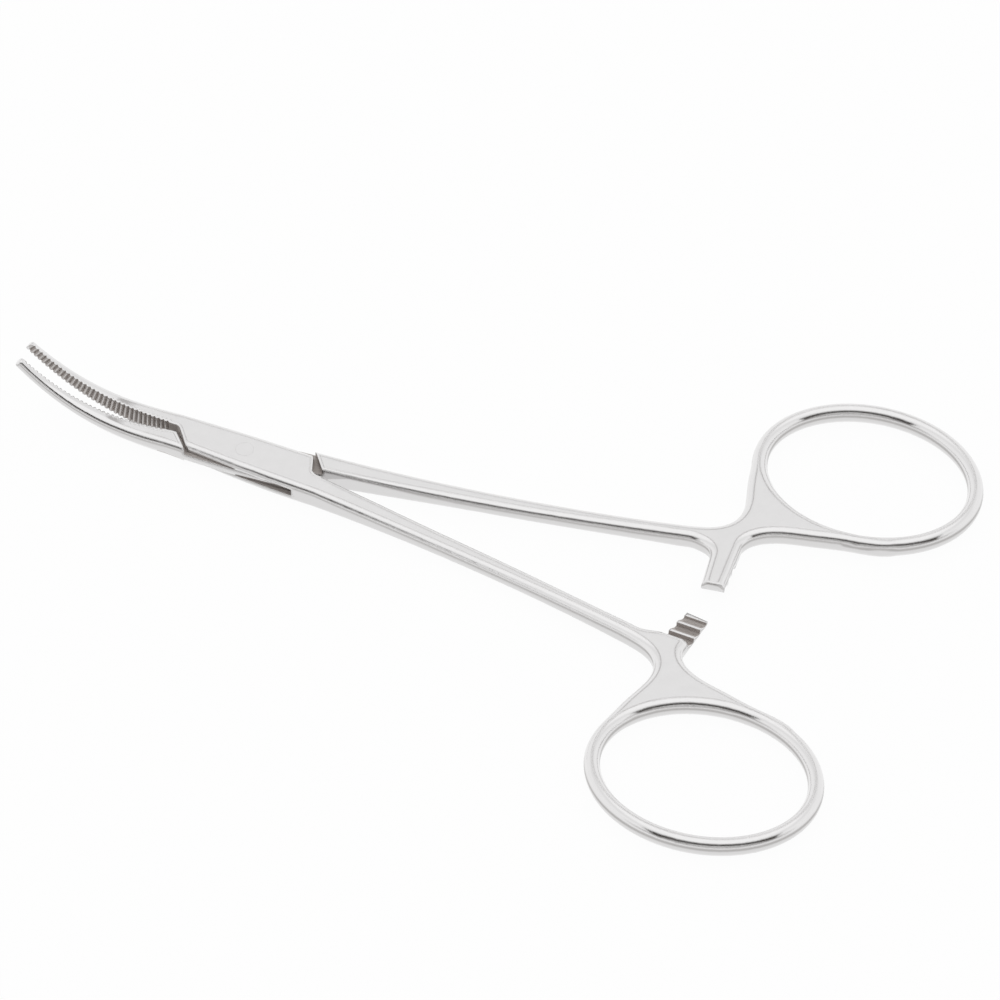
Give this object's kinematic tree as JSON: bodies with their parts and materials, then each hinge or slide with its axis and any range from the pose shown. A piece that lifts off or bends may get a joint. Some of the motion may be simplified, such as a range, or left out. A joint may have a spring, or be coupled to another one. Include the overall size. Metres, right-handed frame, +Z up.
{
  "type": "haemostatic forceps",
  "caption": "Curved mosquito pattern box-lock haemostatic forceps with serrated jaws, ratchet arms and oval finger rings, slightly open.",
  "frame": {"origin": "on the pivot axis, at the underside of the box lock, which rests on the table", "axes": "+X along the bisector of the shanks towards the finger rings, jaws to -X, +Z up along the pivot axis, to which the jaws curve"},
  "size_m": [0.1223, 0.0812, 0.0089],
  "materials": {
    "steel": "satin flats with polished, rounded edges"
  },
  "bodies": {
    "box_side": {"box_half": "steel", "pivot_pin": "steel"},
    "tongue_side": {"tongue_half": "steel"}
  },
  "joints": [
    {"name": "box_lock", "type": "hinge", "parent": "box_side", "child": "tongue_side", "pos_m": [0, 0, 0.00155], "axis": [0, 0, 1], "range_deg": [-5, 75]}
  ]
}
